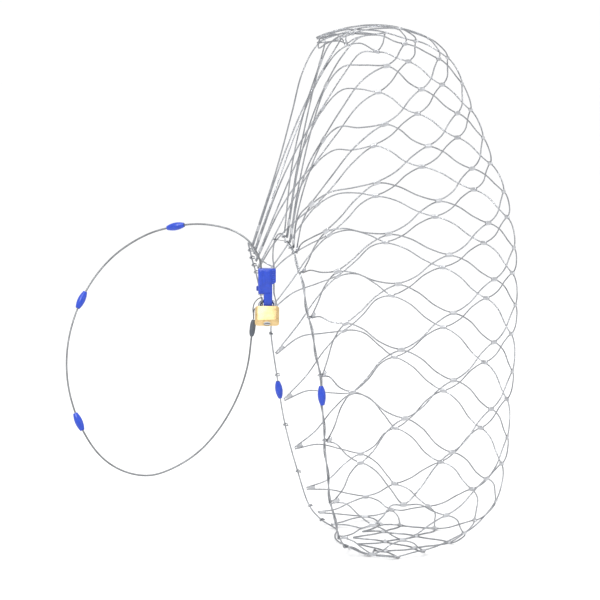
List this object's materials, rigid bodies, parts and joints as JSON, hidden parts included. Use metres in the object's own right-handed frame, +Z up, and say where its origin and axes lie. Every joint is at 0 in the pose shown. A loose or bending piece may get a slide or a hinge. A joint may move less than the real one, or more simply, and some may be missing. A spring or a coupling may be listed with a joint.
{
  "type": "wire security net with locking cable and padlock",
  "caption": "Wire security net drawn closed by a drawstring, with a locking cable loop, a moulded cinch and a small padlock.",
  "frame": {"origin": "on the ground, below the middle of the net's box", "axes": "+Z up, +X from the net's mouth to its closed side, +Y over its width"},
  "size_m": [0.6772, 0.2908, 0.7774],
  "materials": {
    "net_strand": "bright twisted stainless strand",
    "steel_cable": "twisted steel cable",
    "blue_plastic": "satin moulded plastic",
    "grey_sleeve": "matt slate grey moulded sleeve",
    "brass": "satin brass",
    "hardened_steel": "smooth steel"
  },
  "bodies": {
    "root": {"net_wire_01": "net_strand", "net_wire_02": "net_strand", "net_wire_03": "net_strand", "net_wire_04": "net_strand", "net_wire_05": "net_strand", "net_wire_06": "net_strand", "net_wire_07": "net_strand", "net_wire_08": "net_strand", "net_wire_09": "net_strand", "net_wire_10": "net_strand", "net_wire_11": "net_strand", "net_wire_12": "net_strand", "net_wire_13": "net_strand", "net_wire_14": "net_strand", "net_wire_15": "net_strand", "net_wire_16": "net_strand", "net_wire_17": "net_strand", "net_wire_18": "net_strand", "net_wire_19": "net_strand", "net_wire_20": "net_strand", "net_wire_21": "net_strand", "net_wire_22": "net_strand", "net_wire_23": "net_strand", "net_wire_24": "net_strand", "drawstring_cable": "net_strand", "gather_cable": "net_strand", "rim_stop_near": "blue_plastic", "rim_stop_far": "blue_plastic"},
    "cinch": {"cinch_front_shell": "blue_plastic", "cinch_rear_shell": "blue_plastic", "cinch_cam_pin": "hardened_steel", "cinch_rivet_1": "hardened_steel", "cinch_rivet_2": "hardened_steel", "cinch_spring": "hardened_steel", "cable_end_sleeve": "hardened_steel", "locking_cable": "steel_cable", "cable_stop_1": "blue_plastic", "cable_stop_2": "blue_plastic", "cable_stop_3": "blue_plastic", "eye_sleeve": "grey_sleeve", "cable_eye": "steel_cable"},
    "button": {"cinch_button": "blue_plastic"},
    "cam": {"cinch_cam": "hardened_steel"},
    "shackle": {"padlock_shackle": "hardened_steel"},
    "lock_body": {"padlock_body": "brass", "shackle_spring": "hardened_steel", "driver_pin_1": "brass", "driver_pin_2": "brass", "driver_pin_3": "brass", "pin_spring_1": "hardened_steel", "pin_spring_2": "hardened_steel", "pin_spring_3": "hardened_steel"},
    "plug": {"padlock_plug": "hardened_steel", "padlock_tail_cam": "brass", "key_pin_1": "brass", "key_pin_2": "brass", "key_pin_3": "brass"},
    "left_ball": {"locking_ball_left": "hardened_steel"},
    "right_ball": {"locking_ball_right": "hardened_steel"}
  },
  "joints": [
    {"name": "cinch_slide", "type": "slide", "parent": "root", "child": "cinch", "axis": [0, 0, 1], "range_m": [-0.012, 0]},
    {"name": "cinch_button", "type": "slide", "parent": "cinch", "child": "button", "axis": [1, 0, 0], "range_m": [0, 0.0025], "stiffness_N_per_m": 1500, "springref_m": -0.002},
    {"name": "cinch_cam", "type": "hinge", "parent": "cinch", "child": "cam", "pos_m": [-0.1705, -0.02, 0.4035], "axis": [0, -1, 0], "range_deg": [0, 10.3]},
    {"name": "padlock_swing", "type": "hinge", "parent": "cinch", "child": "shackle", "pos_m": [-0.172, -0.02, 0.369], "axis": [1, 0, 0], "range_deg": [-22, 25]},
    {"name": "padlock_drop", "type": "slide", "parent": "shackle", "child": "lock_body", "axis": [0, -0.6691, -0.7431], "range_m": [0, 0.01]},
    {"name": "plug_turn", "type": "hinge", "parent": "lock_body", "child": "plug", "pos_m": [-0.172, -0.02, 0.369], "axis": [0, 0.6691, 0.7431], "range_deg": [0, 90]},
    {"name": "left_ball_slide", "type": "slide", "parent": "lock_body", "child": "left_ball", "axis": [1, 0, 0], "range_m": [0, 0.0016]},
    {"name": "right_ball_slide", "type": "slide", "parent": "lock_body", "child": "right_ball", "axis": [-1, 0, 0], "range_m": [0, 0.0016]}
  ],
  "couplings": [
    {"joint": "cinch_cam", "follows": "cinch_button", "rad_per_m": 71.4},
    {"joint": "plug_turn", "follows": "padlock_drop", "rad_per_m": 157},
    {"joint": "left_ball_slide", "follows": "padlock_drop", "ratio": 0.159},
    {"joint": "right_ball_slide", "follows": "padlock_drop", "ratio": 0.159}
  ]
}
